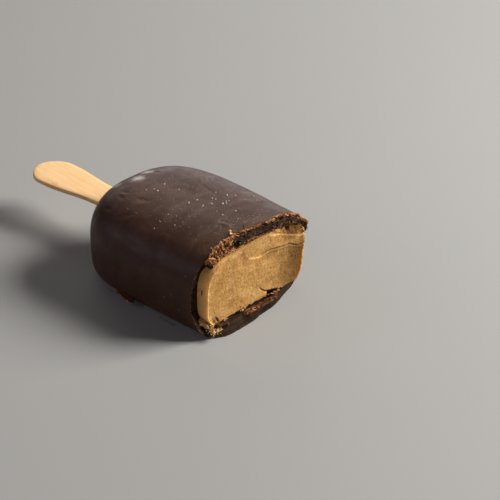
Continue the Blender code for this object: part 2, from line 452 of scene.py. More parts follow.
def crumb_chocolate():
    f = Finish("chocolate_crumbs")
    grain = f.ranged(f.noise(0.0004, 3, 0.6), 0.3, 0.7, -0.25, 0.25)
    tone = f.math("ADD", f.attribute("tone"), grain)
    colour = f.mix(f.ranged(tone, 0.0, 0.45), (0.120, 0.046, 0.017), (0.40, 0.166, 0.056))
    colour = f.mix(f.ranged(tone, 0.5, 1.05), colour, (0.80, 0.46, 0.22))
    normal = f.bump(f.noise(0.0002, 3, 0.6), 0.00005)
    return f.done(colour, 0.7, normal, Specular_IOR_Level=0.12)


def chip_chocolate():
    f = Finish("chocolate_chips")
    grain = f.ranged(f.noise(0.0005, 3, 0.6), 0.3, 0.7, -0.3, 0.3)
    tone = f.math("ADD", f.attribute("tone"), grain)
    colour = f.mix(f.ranged(tone, 0, 1), (0.022, 0.008, 0.006), (0.095, 0.036, 0.021))
    normal = f.bump(f.noise(0.0002, 3, 0.6), 0.00005)
    return f.done(colour, 0.6, normal, Specular_IOR_Level=0.1)


def ice_cream_colour(f):
    clouds = f.noise(0.006, 5, 0.6)
    smears = f.noise(0.0018, 5, 0.6, place=f.stretched((1, 0.4, 1)))
    grain = f.noise(0.0005, 4, 0.7)
    colour = f.mix(f.ranged(clouds, 0.35, 0.65), (0.36, 0.182, 0.050), (0.48, 0.265, 0.084))
    colour = f.mix(f.ranged(smears, 0.50, 0.72, 0, 0.75), colour, (0.60, 0.37, 0.160))
    colour = f.mix(f.ranged(smears, 0.46, 0.30, 0, 0.5), colour, (0.29, 0.138, 0.035))
    colour = f.mix(f.ranged(grain, 0.5, 0.32, 0, 0.22), colour, (0.26, 0.122, 0.033))
    airy = f.ranged(f.noise(0.009, 2), 0.42, 0.6, 0.25, 1)
    large = f.ranged(f.cells(0.0036), 0.05, 0.085, 0.85, 0)
    fine = f.math("MULTIPLY", f.ranged(f.cells(0.0017), 0.06, 0.11, 0.6, 0), airy)
    return f.mix(f.math("MAXIMUM", large, fine), colour, (0.16, 0.070, 0.020)), grain


def coffee_ice_cream():
    f = Finish("coffee_ice_cream_face")
    colour, grain = ice_cream_colour(f)
    # Painted shadow: darker towards the far foot, under the crease and close below the chocolate.
    painted_shadow = f.math("MULTIPLY", f.near((0, 22.5, 11), 17), 1.3)
    for centre, radius, strength in (((0, 6.5, 21.5), 6, 0.3), ((0, 17.0, 25.5), 8, 1.3), ((0, -3, 27.5), 7, 0.3)):
        painted_shadow = f.math("MAXIMUM", painted_shadow, f.math("MULTIPLY", f.near(centre, radius), strength))
    painted_shadow = f.math("MULTIPLY", painted_shadow, f.ranged(f.noise(0.004, 4, 0.6), 0.3, 0.7, 0.75, 1.25))
    colour = f.mix(f.ranged(painted_shadow, 0.05, 0.85, 0, 0.92), colour, (0.105, 0.042, 0.005))
    painted_shading = f.attribute("painted_shading")
    # Painted shade where the shading attribute is below 0, painted light where it is above 0.
    colour = f.mix(f.ranged(painted_shading, 0, -1), colour, (0.085, 0.036, 0.012))
    colour = f.mix(f.ranged(painted_shading, 0, 1), colour, (0.92, 0.52, 0.19))
    pits = f.ranged(f.noise(0.0009, 3, 0.6), 0.28, 0.40)
    normal = f.bump(grain, 0.00016)
    normal = f.bump(pits, 0.00016, normal)
    return f.done(
        colour, 0.65, normal, Specular_IOR_Level=0.15, Subsurface_Weight=0.35,
        Subsurface_Radius=(0.0030, 0.0014, 0.0006), Subsurface_Scale=1.0,
    )


def pale_ice_cream():
    f = Finish("coffee_ice_cream_crumbs")
    colour, grain = ice_cream_colour(f)
    colour = f.mix(f.ranged(f.attribute("tone"), 0, 1, 0, 0.7), colour, (0.74, 0.50, 0.26))
    return f.done(colour, 0.6, f.bump(grain, 0.0002), Specular_IOR_Level=0.25)


def stick_wood():
    f = Finish("birch_stick")
    along = f.stretched((0.06, 1, 1))
    grain = f.noise(0.0009, 5, 0.6, 0.3, place=along)
    fibres = f.noise(0.00022, 2, 0.5, place=f.stretched((0.03, 1, 1)))
    colour = f.mix(f.ranged(grain, 0.3, 0.7), (0.76, 0.45, 0.195), (0.87, 0.59, 0.30))
    colour = f.mix(f.ranged(fibres, 0.58, 0.8, 0, 0.35), colour, (0.50, 0.26, 0.10))
    stained = f.math("MAXIMUM", f.near((-64.5, -3, 15), 6.5), f.near((-88, -11, 15), 7.5))
    stained = f.math("MAXIMUM", stained, f.near((-101.5, -6.5, 15), 6))
    stains = f.math("MULTIPLY", f.ranged(stained, 0, 0.8), f.ranged(f.noise(0.003, 4, 0.6), 0.40, 0.62))
    colour = f.mix(f.math("MULTIPLY", stains, 0.65), colour, (0.62, 0.27, 0.085))
    normal = f.bump(fibres, 0.00004)
    normal = f.bump(grain, 0.00006, normal)
    return f.done(colour, 0.58, normal, Specular_IOR_Level=0.3)


def frost_white():
    f = Finish("frost_white")
    colour = f.mix(f.noise(0.0006), (0.80, 0.80, 0.81), (0.98, 0.98, 0.98))
    return f.done(colour, 0.35, f.bump(f.noise(0.0002), 0.00003), Specular_IOR_Level=0.6)


# ---------------------------------------------------------------- the chocolate shell

BAND_ROWS = 27
# Place round the section, then how far the outer and the inner edge of the break reach past the cut.
BREAK_EDGE = (
    (0.000, 1.7, 2.1), (0.020, 2.4, 2.1), (0.040, 2.6, 2.2), (0.055, 2.7, 0.9), (0.100, 2.8, 0.9),
    (0.115, 2.5, 0.6), (0.128, 1.5, 0.0), (0.145, 0.2, -2.4), (0.195, -1.7, -3.8),
    (0.225, -3.7, -4.1), (0.320, -3.6, -4.0), (0.345, -3.2, -3.4), (0.351, -1.9, -0.9),
    (0.385, -3.7, -0.8), (0.418, -4.1, -0.5), (0.446, -3.7, -0.4), (0.471, -3.6, -0.4),
    (0.496, -2.7, -0.5), (0.553, -1.9, -0.4), (0.591, -2.8, -0.4), (0.637, -2.4, -0.5),
    (0.660, -0.6, -0.5), (0.676, 0.2, -0.8), (0.690, -0.6, -1.6), (0.703, -1.8, -2.6),
    (0.725, -4.2, -4.4), (0.820, -4.4, -4.8), (0.860, -3.2, -3.6), (0.900, -1.5, -0.8),
    (0.920, -0.4, 0.6), (0.940, 0.6, 1.8), (0.960, 1.2, 2.2), (0.980, 1.4, 2.3),
)
TOP_START, TOP_END = 0.349, 0.705  # the crumbled stretch of the break, over the top
# Flaky strips on the broken face: start and end share, place across it at each, and half width.
STRIPS = (
    (0.446, 0.492, 0.24, 0.34, 0.05), (0.500, 0.560, 0.14, 0.30, 0.04), (0.575, 0.640, 0.42, 0.30, 0.035),
    (0.600, 0.668, 0.24, 0.16, 0.05), (0.437, 0.444, 0.2, 1.4, 0.5), (0.462, 0.500, 0.86, 0.80, 0.05),
)
# Marks on the skin: x, share round, half length, half width, turn, height. Dents are negative.
SKIN_MARKS = (
    (-48.1, 0.408, 0.9, 0.7, 0.5, -0.20), (-48.8, 0.416, 1.3, 0.5, 0.7, 0.14),
    (-47.3, 0.398, 0.6, 0.5, 0.0, 0.15), (-48.1, 0.358, 1.3, 0.6, 0.6, 0.20),
    (-39.3, 0.372, 2.0, 0.6, 0.9, 0.22), (-41.3, 0.355, 1.2, 0.6, 0.9, 0.18),
    (-40.3, 0.424, 1.8, 0.7, 0.4, 0.16), (-39.5, 0.410, 2.2, 0.8, 0.5, -0.09),
    (-51.6, 0.329, 1.0, 0.8, 0.5, 0.15), (-50.4, 0.542, 0.9, 0.7, 0.0, 0.22),
    (-52.3, 0.480, 2.2, 1.4, 1.2, 0.18), (-52.5, 0.446, 2.0, 1.2, 0.8, -0.14),
    (-10.3, 0.466, 1.0, 0.7, 0.6, -0.30), (-10.9, 0.476, 1.4, 0.4, 0.6, 0.18),
    (-29.6, 0.552, 4.5, 0.5, -0.3, 0.10), (-34.0, 0.512, 6.0, 1.8, 0.1, 0.08),
    (-28.6, 0.303, 4.2, 1.0, -0.35, -0.22), (-33.0, 0.318, 4.0, 1.2, -0.3, 0.15),
    (-21.7, 0.375, 0.8, 0.5, 0.2, 0.1),
)


def shell_shares():
    """Places of the shell's columns round the section, closest together over the crumbled top."""
    fine = np.linspace(0, 1, 2001)
    density = 1 + 0.85 * window(fine, TOP_START - 0.01, TOP_END + 0.01, 0.01)
    reached = np.concatenate([[0], np.cumsum(density[1:])])
    return np.interp(np.arange(640) / 640, reached / reached[-1], fine)


def break_reach(shares, column):
    places = [row[0] for row in BREAK_EDGE]
    return np.interp(shares, places, [row[column] for row in BREAK_EDGE], period=1)


def skin_stations():
    """Where the rings of the skin lie, as shares of the way from the stick end to the break."""
    start = 9.0 * np.linspace(0.04, 1, 22) ** 2
    middle = np.arange(10, 54, 1.0)
    end = np.arange(54.5, BAR_LENGTH - 3.8, 0.25)
    return np.concatenate([start, middle, end]) / end[-1]


def skin_relief(points, shares):
    """How far the skin stands proud of the plain form, in millimetres."""
    a, b = points[..., 0], shares * OUTLINE
    relief = 0.10 * noise_at(points, 11, 1) + 0.05 * noise_at(points, 4.5, 2)
    relief += 0.012 * noise_at(points, 1.2, 3)
    for x, share, length, width, turn, height in SKIN_MARKS:
        relief += height * blob(a, b, x, share * OUTLINE, length, width, turn)
    return relief * smooth(points[..., 2], 0.2, 3.0)


class Break:
    """The broken edge of the shell: a band of points from the skin's edge in to the inner edge."""

    def __init__(self, outer_edge, inner_edge, shares):
        self.shares = shares
        self.across = np.linspace(0, 1, BAND_ROWS + 2)[1:-1, None]
        self.top = window(shares, TOP_START, TOP_END, 0.004)
        self.slope = window(shares, 0.352, 0.438, 0.008)  # the rough slope at the near end
        self.lip = window(np.mod(shares + 0.5, 1), 0.40, 0.63, 0.01)
        flat = outer_edge + self.across[..., None] * (inner_edge - outer_edge)
        self.out = grid_normals(flat)
        lift, self.crumble = self.relief(flat)
        self.points = flat + self.out * lift[..., None]

    def relief(self, flat):
        """How far the broken face stands out, and how crumbled it is from 0 to 1."""
        across, middle = self.across, np.sin(pi * self.across)
        lengthwise = flat * (1, 0.16, 1)
        chips = 0.45 * facets_at(flat, 1.5, 3) + 0.30 * fractal_at(flat, 0.8, 4, 4)
        streaks = 0.26 * facets_at(lengthwise, 0.9, 5) + 0.14 * fractal_at(lengthwise, 0.45, 4, 6)
        fringe = np.exp(-((across / 0.16) ** 2))
        gap = window(across, 0.74, 0.93, 0.05)
        facet = self.top * (1 - self.slope)
        strips = sum(self.strip(*strip) for strip in STRIPS)
        lift = self.slope * chips * (0.35 + 0.65 * middle)
        lift = lift + facet * (streaks - 0.35 * middle + 0.35 * fringe - 0.7 * gap) + 0.5 * strips
        lift = lift - 1.5 * self.cavity(0.452, 0.80, 1.8, 0.16) - 0.7 * self.cavity(0.60, 0.86, 3.0, 0.1)
        lift = lift + self.lip * middle * (0.12 * noise_at(flat, 4.0, 7) + 0.05 * fractal_at(flat, 0.8, 3, 8))
        lift = lift + 0.04 * fractal_at(flat, 0.9, 3, 9)
        inner = smooth(across, 0.72, 0.95)
        crumble = self.top * (0.85 * fringe + 0.30 * inner) + self.slope * (0.55 + 0.3 * chips) + 0.6 * strips
        crumble = crumble + 0.42 * (1 - self.top) * np.exp(-((across / 0.05) ** 2))
        return lift, np.clip(crumble, 0, 1) * (1 - self.cavity(0.452, 0.80, 2.4, 0.2))

    def strip(self, start, end, start_across, end_across, width):
        """A flaky strip left standing on the broken face, as a bump of height 1."""
        way = (self.shares - start) / (end - start)
        middle = start_across + (end_across - start_across) * way
        return window(self.shares, start, end, 0.004) * line_at(self.across - middle, width)

    def cavity(self, share, across, length, width):
        return blob(self.shares * OUTLINE, self.across, share * OUTLINE, across, length, width)

    def at(self, share, across, lift=0.0):
        """A place on the broken face, and the direction of the edge there."""
        column = min(np.searchsorted(self.shares, share), len(self.shares) - 2)
        row = int(np.clip(across * (BAND_ROWS + 1) - 1, 0, BAND_ROWS - 1))
        point = self.points[row, column] + lift * self.out[row, column]
        return point, self.points[row, column + 1] - self.points[row, column - 1]


def make_shell(skin_material, broken_material):
    shares = shell_shares()
    angles = angles_at(shares)
    line = np.stack([shares * OUTLINE, 0 * shares, 0 * shares], -1)
    rough = 0.1 + 0.9 * window(shares, TOP_START, TOP_END, 0.004)
    outer_x = break_reach(shares, 1) + rough * (0.40 * fractal_at(line, 1.4, 4, 1) + 0.2 * facets_at(line, 0.8, 2))
    inner_x = break_reach(shares, 2) + rough * 0.35 * fractal_at(line, 1.2, 4, 5)
    x = -BAR_LENGTH + skin_stations()[:, None] * (outer_x + BAR_LENGTH)
    skin = skin_points(x, angles)
    skin = skin + grid_normals(skin) * skin_relief(skin, shares)[..., None]
    inner_start = SHELL_THICKNESS - BAR_LENGTH
    depth = np.concatenate([np.linspace(0, 0.08, 22), np.linspace(0.15, 0.98, 8)])
    inner_x = inner_x + depth[:, None] * (inner_start - inner_x)
    inner = pod_points(SHELL_THICKNESS, INNER_SHOULDER_POWER, inner_x, angles)
    low = np.mod(shares + 0.5, 1)
    ledge = window(low, 0.41, 0.55, 0.012) * smooth(inner_x, -1.0, 0.2)
    crumbs = np.clip(0.8 * fractal_at(inner, 0.9, 4, 10) + 0.3 * window(low, 0.475, 0.55, 0.012), -0.3, 0.8)
    inner[..., 2] += ledge * np.minimum(0.4 * crumbs, 0.25)
    edge = Break(skin[-1], inner[0], shares)
    grid = np.concatenate([skin, edge.points, inner])
    first, last = (-BAR_LENGTH, 0, WAIST_HEIGHT), (inner_start, 0, WAIST_HEIGHT)
    shell = lofted_piece("shell", first, grid, last, [skin_material, broken_material])
    crumble = np.zeros(grid.shape[:2])
    crumble[len(skin) : len(skin) + BAND_ROWS] = edge.crumble
    crumble[len(skin) - 1] = edge.crumble[0]
    crumble[len(skin) + BAND_ROWS :] = ledge * (0.30 + 0.5 * crumbs)
    add_attribute(shell, "crumble", [0, *crumble.ravel(), 0])
    of_row = np.arange(len(grid) - 1) >= len(skin) - 1
    of_face = [False] * len(shares) + np.repeat(of_row, len(shares)).tolist() + [True] * len(shares)
    shell.data.polygons.foreach_set("material_index", np.array(of_face, np.int32))
    shell.data.set_sharp_from_angle(angle=radians(50))
    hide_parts("chocolate_shell")
    return edge


# ---------------------------------------------------------------- the ice cream

# The face is a grid between four corners of the section: near foot, near top, far top and far foot.
FACE_CORNERS = (0.150, 0.350, 0.695, 0.860)
FACE_UP, FACE_ACROSS = 120, 220
# Lines on the cut face, as places across it and heights.
CREASE = (
    (-4.2, 23.0), (-1, 21.8), (2.2, 21.2), (5.8, 21.7), (11.4, 20.4), (15.1, 19.9), (18.5, 17.8), (21.3, 17.7),
)
LEDGE = ((4.6, 27.0), (9.7, 25.5), (14.9, 23.1), (19.7, 20.9))
# The ragged top edge: place across the face, then how far the ice cream has sunk there.
TOP_EDGE = ((9, 0), (11.4, -0.6), (12.8, 0.9), (13.7, 2.2), (14.7, 1.3), (16.1, -0.2), (17.6, 0.4), (19, 1.4), (21, 1.4))
CRACK = ((1.4, 9.0), (2.8, 7.5), (4.2, 6.4), (6.5, 5.6), (9.6, 4.8))


def height_along(line, y):
    return np.interp(y, [point[0] for point in line], [point[1] for point in line])


def line_at(offset, width):
    return np.exp(-((offset / width) ** 2))


def face_form(points):
    """How far the cut face stands out of its plane in millimetres, and its painted shading: painted shade (-) or
    painted light (+).
    """
    y, z = points[..., 1], points[..., 2]
    relief = 0.25 * noise_at(points, 9, 11) + 0.10 * noise_at(points, 3, 12)
    relief += 0.08 * fractal_at(points, 0.9, 4, 13)
    relief += 0.06 * fractal_at(points * (1, 0.25, 1), 0.8, 3, 14)
    pits = smooth(noise_at(points, 0.62, 15), 0.52, 0.68)
    relief -= 0.24 * pits
    # Painted shade in the pits.
    painted_shading = -0.5 * pits
    # The crease: the upper part stands proud of the lower, and shades it; that shadow is also painted, with a painted
    # highlight below it.
    above = z - height_along(CREASE, y) - 0.12 * noise_at(points, 1.5, 16)
    strength = smooth(y, 1, 5)
    relief += strength * 0.40 * smooth(above, -0.2, 0.2) * np.exp(-np.maximum(above, 0) / 2.0)
    painted_shading -= strength * (0.50 * line_at(above + 0.10, 0.34) + 0.28 * line_at(above + 1.3, 1.1))
    highlight = (0.35 * strength + 0.6 * window(y, -4, 2, 1.2)) * line_at(above + 0.75, 0.36)
    relief += 0.35 * highlight
    painted_shading += highlight
    # The ledge: above it the face is set back and rough, up to a cleft. A painted highlight runs along the ledge, with
    # a painted shadow just above it.
    above = z - height_along(LEDGE, y)
    back = smooth(y, 4.5, 7) * smooth(above, -0.15, 0.2)
    relief -= back * (0.35 - 0.25 * fractal_at(points, 1.2, 3, 17))
    painted_shading += smooth(y, 5, 8) * (0.25 * line_at(above + 0.12, 0.2) - 0.5 * line_at(above - 0.45, 0.25))
    cleft = blob(y, z, 13.7, 26.3, 0.7, 1.5, 0.25) + 0.6 * blob(y, z, 7.6, 27.3, 0.6, 0.5)
    relief -= 2.0 * cleft
    # The crack near the foot of the face, with a hole under its wider end. The crack, the hole and the cleft get
    # painted shade.
    above = z - height_along(CRACK, y)
    along = window(y, 1.6, 9.8, 0.5)
    hole = smooth(y, 4.8, 6.2) * (1 - smooth(y, 9.6, 10.4)) * (1 - smooth(above, -0.25, 0.05))
    relief -= 0.5 * along * line_at(above, 0.2) + 1.4 * hole
    painted_shading -= along * line_at(above, 0.25) + 1.5 * hole + 1.6 * cleft
    relief -= 0.4 * blob(y, z, 20.5, 9.0, 3.0, 4.5, 0.3)
    # Painted shade near the top of the near side, under the shell's broken edge.
    painted_shading -= 0.45 * blob(y, z, -6.2, 24.2, 1.2, 2.6, 0.3) * (1 + fractal_at(points, 0.9, 3, 20))
    smear = blob(y, z, -20.6, 3.6, 1.8, 1.9) + 0.5 * blob(y, z, -18.4, 3.2, 1.4, 0.8)
    relief += smear * (1.2 + 0.9 * fractal_at(points, 1.0, 4, 23))
    # Painted light on the smeared near corner.
    painted_shading += 0.7 * smear
    # The face's foot is broken away: recessed, with painted shade in it.
    low = 4.2 + 0.4 * noise_at(points, 1.3, 18) + 0.2 * noise_at(points, 0.6, 19) - z
    broken = smooth(low, -0.1, 0.15) * smooth(y, -16.5, -15)
    return relief - 1.5 * broken, np.clip(painted_shading - broken, -1, 1)


def ice_shares():
    """Places of the ice cream's columns, with equal numbers on opposite sides of the face's corners."""
    starts, counts = (*FACE_CORNERS, 1 + FACE_CORNERS[0]), (FACE_UP, FACE_ACROSS, FACE_UP, FACE_ACROSS)
    runs = [np.linspace(*ends, count, endpoint=False) for *ends, count in zip(starts, starts[1:], counts)]
    return np.concatenate(runs)


def sides_of(ring):
    """The near, far, lower and upper side of a ring, each from its foot or from its near end."""
    closed = np.concatenate([ring, ring[:1]])
    top, far_top, far_foot = np.cumsum((FACE_UP, FACE_ACROSS, FACE_UP))
    near, high = closed[: top + 1], closed[top : far_top + 1]
    far, low = closed[far_top : far_foot + 1][::-1], closed[far_foot:][::-1]
    return near, far, low, high


def spanned(ring):
    """A grid of points, rows upwards, that spans a ring from side to side and from foot to top."""
    near, far, low, high = sides_of(ring)
    up = np.linspace(0, 1, FACE_UP + 1)[:, None, None]
    along = np.linspace(0, 1, FACE_ACROSS + 1)[None, :, None]
    across = (1 - along) * near[:, None] + along * far[:, None]
    upwards = (1 - up) * low[None] + up * high[None]
    corners = (1 - up) * ((1 - along) * near[0] + along * far[0]) + up * ((1 - along) * near[-1] + along * far[-1])
    return across + upwards - corners


def face_quads(first_of_rim, first_inside):
    """Quads of the face, whose border is the wall's last ring and whose other points follow on."""
    index = np.zeros((FACE_UP + 1, FACE_ACROSS + 1), int)
    index[1:-1, 1:-1] = first_inside + np.arange((FACE_UP - 1) * (FACE_ACROSS - 1)).reshape(FACE_UP - 1, -1)
    ring = first_of_rim + np.arange(2 * (FACE_UP + FACE_ACROSS))
    index[:, 0], index[:, -1], index[0], index[-1] = sides_of(ring)
    return np.stack([index[:-1, :-1], index[:-1, 1:], index[1:, 1:], index[1:, :-1]], -1).reshape(-1, 4).tolist()


def make_ice_cream(material):
    shares = ice_shares()
    angles = angles_at(shares)
    edge = pod_points(ICE_INSET, INNER_SHOULDER_POWER, 0 * angles, angles)
    relief, edge_painted_shading = face_form(edge)
    edge_x = FACE_LEAN * (edge[:, 2] - WAIST_HEIGHT) + relief
    start = ICE_INSET - BAR_LENGTH
    strip = np.linspace(-7, 0, 29)[:, None]
    hidden = (1 - np.cos(pi / 2 * np.arange(1, 15) / 15))[:, None] * np.ones(len(shares))
    wall_x = np.concatenate([start + hidden * (-7.3 - start), strip + edge_x * (1 + strip / 7)])
    wall = pod_points(ICE_INSET, INNER_SHOULDER_POWER, wall_x, angles)
    near_cut = smooth(wall[..., 0], -5.5, -4.5)
    relief = near_cut * (0.08 * noise_at(wall, 3, 21) + 0.06 * fractal_at(wall, 0.8, 3, 22))
    burr = window(shares, 0.17, 0.37, 0.02) * smooth(wall[..., 0], -0.7, -0.1) * 0.14
    sunk = height_along(TOP_EDGE, wall[..., 1]) * smooth(wall[..., 2], 19, 22) * smooth(wall[..., 0], -3, 0)
    wall = wall + grid_normals(wall) * (relief + burr - sunk)[..., None]
    face = spanned(wall[-1])[1:-1, 1:-1]
    relief, painted_shading = face_form(face)
    rim, painted_rim_highlight = face_rim(face, wall[-1])
    face[..., 0] = FACE_LEAN * (face[..., 2] - WAIST_HEIGHT) + relief + 0.25 * rim
    points = np.concatenate([[(start, 0, WAIST_HEIGHT)], wall.reshape(-1, 3), face.reshape(-1, 3)])
    rows, columns, _ = wall.shape
    faces = lofted_faces(rows, columns)[:-columns]
    faces += face_quads(1 + (rows - 1) * columns, 1 + rows * columns)
    ice = new_piece("ice_cream_body", points, faces, [material])
    # Painted light on the near wall, stronger at the cut and low down, with the face's painted shade carried onto the
    # wall's cut edge.
    side = window(shares, 0.14, 0.40, 0.02)
    wall_painted_shading = side * (0.7 + 0.3 * smooth(wall[..., 0], -0.5, -0.1) + 0.3 * (1 - smooth(wall[..., 2], 5, 11)))
    wall_painted_shading = wall_painted_shading + smooth(wall[..., 0], -2.5, -0.5) * np.minimum(edge_painted_shading, 0)
    add_attribute(ice, "painted_shading", [0, *wall_painted_shading.ravel(), *(painted_shading + painted_rim_highlight).ravel()])
    ice.data.set_sharp_from_angle(angle=radians(60))
    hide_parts("ice_cream")


def face_rim(face, ring):
    """The burr along the near edge of the face, and a painted highlight along both sides, as a paler rim."""
    y, z = face[..., 1], face[..., 2]
    near, far, _, _ = sides_of(ring)
    from_near = y - near[1:-1, None, 1]
    from_far = far[1:-1, None, 1] - y
    low = 1 - smooth(z, 24, 27)
    rim = line_at(from_near, 0.45) * low
    return rim, 0.8 * rim + 0.6 * line_at(from_far, 0.5) * low


# ---------------------------------------------------------------- the stick


def stick_edge():
    """Half outline of the stick, from the held tip to the buried one, with x 0 at the shell."""
    paddle_x = PADDLE_RADIUS - STICK_EXPOSED
    tip_x = STICK_LENGTH - STICK_EXPOSED - STICK_HALF_WIDTH
    turns = np.linspace(0.02, pi / 2, 33)
    ease = np.linspace(0, 1, 60)
    half = STICK_HALF_WIDTH + (PADDLE_RADIUS - STICK_HALF_WIDTH) * (1 + np.cos(pi * ease)) / 2
    x = [paddle_x - PADDLE_RADIUS * np.cos(turns), paddle_x + 2 + 22 * ease]
    width = [PADDLE_RADIUS * np.sin(turns), half]
    x.append(tip_x + STICK_HALF_WIDTH * np.cos(turns[::-1]))
    width.append(STICK_HALF_WIDTH * np.sin(turns[::-1]))
    return np.concatenate(x), np.concatenate(width)


def make_stick(material):
    x, width = stick_edge()
    turns = 2 * pi * np.arange(56) / 56
    y = width[:, None] * signed_power(np.cos(turns), 0.35)
    z = STICK_THICKNESS / 2 * signed_power(np.sin(turns), 0.35) * smooth(width, 0, 1.2)[:, None]
    grid = np.stack([x[:, None] + 0 * y, y, z], -1)
    grid[..., 2] += 0.05 * noise_at(grid * (0.15, 1, 0.2), 2.2, 31) + 0.02 * noise_at(grid * (0.1, 1, 1), 0.5, 32)
    turned = grid.copy()
    turned[..., 0] = grid[..., 0] * cos(STICK_YAW) - grid[..., 1] * sin(STICK_YAW) - BAR_LENGTH
    turned[..., 1] = grid[..., 0] * sin(STICK_YAW) + grid[..., 1] * cos(STICK_YAW)
    turned[..., 2] += STICK_LEVEL
    stick = lofted_piece("birch_stick", turned[0].mean(0), turned, turned[-1].mean(0), [material])
    stick.data.set_sharp_from_angle(angle=radians(60))
    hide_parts("stick")


# ---------------------------------------------------------------- crumbs and frost


def make_break_crumbs(edge, material):
    """Orange-brown crumbs, splinters and shavings along the break over the top."""
    chunks = Chunks(7)
    draw = chunks.random.uniform
    # start and end share, start and end across, then how many crumbs, splinters and shavings
    zones = (
        (0.350, 0.703, -0.02, 0.12, 260, 170, 40),
        (0.353, 0.437, 0.00, 1.00, 220, 60, 40),
        (0.440, 0.560, 0.86, 1.00, 90, 30, 6),
        (0.560, 0.690, 0.80, 1.00, 60, 24, 6),
        (0.590, 0.650, 0.00, 0.22, 50, 40, 30),
        (0.455, 0.700, 0.14, 0.75, 10, 8, 0),
    )
    for start, end, first, last, crumbs, splinters, shavings in zones:
        for _ in range(crumbs):
            size = draw(0.25, 0.8)
            place, _ = edge.at(draw(start, end), draw(first, last), size * 0.25)
            chunks.add_crumb(place, (size, size * 0.8, size * 0.6))
        for _ in range(splinters):
            place, along = edge.at(draw(start, end), draw(first, last), draw(0.05, 0.25))
            tilted = along / np.linalg.norm(along) + draw(-0.3, 0.3, 3)
            chunks.add_crumb(place, (draw(0.8, 2.6), draw(0.25, 0.5), draw(0.15, 0.3)), tilted)
        for _ in range(shavings):
            place, along = edge.at(draw(start, end), draw(first, last), draw(0.1, 0.4))
            tilted = along / np.linalg.norm(along) + draw(-0.45, 0.45, 3)
            chunks.add_shaving(place, tilted, (draw(0.8, 2.2), draw(0.3, 0.6), 0.14), draw(0.8, 3.0))
    for _ in range(80):
        place, _ = edge.at(draw(0.356, 0.434), draw(0.05, 0.95), 0.1)
        chunks.add_crumb(place, (draw(1.2, 2.6), draw(0.9, 1.6), draw(0.5, 0.9)), (0.2, draw(-0.5, 0.5), 1), draw(0, 0.8))
    for _ in range(90):
        place, _ = edge.at(draw(0.36, 0.69), 0)
        place = skin_points(place[:1] - draw(0.3, 3.2) ** 1.3, angles_at(draw(0.36, 0.69, 1)))[0]
        chunks.add_crumb(place, draw(0.15, 0.35, 3))
    # Long slivers: share, place across, length and tone.
    for share, across, length, tone in (
        (0.462, 0.26, 4.5, 0.95), (0.452, 0.10, 5.0, 0.7), (0.482, 0.16, 6.0, 0.4), (0.530, 0.06, 5.0, 0.6),
        (0.545, 0.20, 4.5, 0.3), (0.600, 0.08, 5.0, 0.7), (0.625, 0.22, 6.0, 0.5), (0.655, 0.10, 4.0, 0.8),
    ):
        place, along = edge.at(share, across, 0.25)
        chunks.add_crumb(place, (1.15 * length, 0.8, 0.35), along, tone)
    for _ in range(24):
        place, _ = edge.at(draw(0.436, 0.446), draw(0.1, 0.95), draw(0.1, 0.5))
        chunks.add_crumb(place, draw(0.4, 1.1, 3), None, draw(0.6, 1.1))
    flat_bit, along = edge.at(0.362, 0.45, 0.35)
    chunks.add_shaving(flat_bit, (0.1, 0.9, -0.5), (3.6, 3.0, 0.5), 0.3, 0.45)
    curl, _ = edge.at(0.447, 0.05, 0.6)
    chunks.add_shaving(curl + (-0.5, 0.3, 0.6), (0.5, -0.5, 1.0), (3.0, 0.7, 0.3), 2.4, 0.9)
    chunks.add_lump(curl + (-1.2, 0.5, 1.1), (1.2, 1.0, 1.0), None, 1.0)
    chunks.piece("break_crumbs", material, "dark_chocolate")


def make_chips(edge, material):
    """Darker chips: among the crumbs, stuck to the foot of the face, and one on the ice cream's side."""
    chunks = Chunks(19)
    draw = chunks.random.uniform
    for _ in range(50):
        place, _ = edge.at(draw(0.355, 0.44), draw(0.05, 1), 0.05)
        chunks.add_crumb(place, draw(0.3, 1.1, 3))
    for _ in range(54):
        place, along = edge.at(draw(0.45, 0.675), draw(0.25, 0.9), -0.05)
        tilted = along / np.linalg.norm(along) + draw(-0.05, 0.05, 3)
        chunks.add_crumb(place, (draw(1.6, 3.6), draw(0.5, 1.0), draw(0.15, 0.3)), tilted, draw(0, 0.9))
    for _ in range(22):
        way = draw(0, 1)
        place = (draw(0.3, 1.3), -18.2 + 4.4 * way, 4.6 - 1.6 * way + draw(-0.4, 0.4))
        chunks.add_lump(place, (draw(1.4, 3.0), draw(0.8, 1.5), draw(0.5, 1.0)), (0.3, 1, draw(-0.6, 0.1)), draw(0.1, 0.9))
    chunks.add_lump((0.45, -17.9, 6.4), (3.8, 0.9, 0.6), (0, -0.45, 1), 0.9)
    chunks.add_crumb((-2.1, -21.8, 16.6), (3.4, 1.3, 0.7), (0, 0, 1), 0.9)
    # The chip broken out of the foot of the near side.
    chunks.add_shaving((-34.4, -25.4, 3.2), (1, 0.0, -0.2), (8.0, 3.0, 0.4), 0.5, 0.4)
    chunks.piece("chocolate_chips", material, "dark_chocolate")


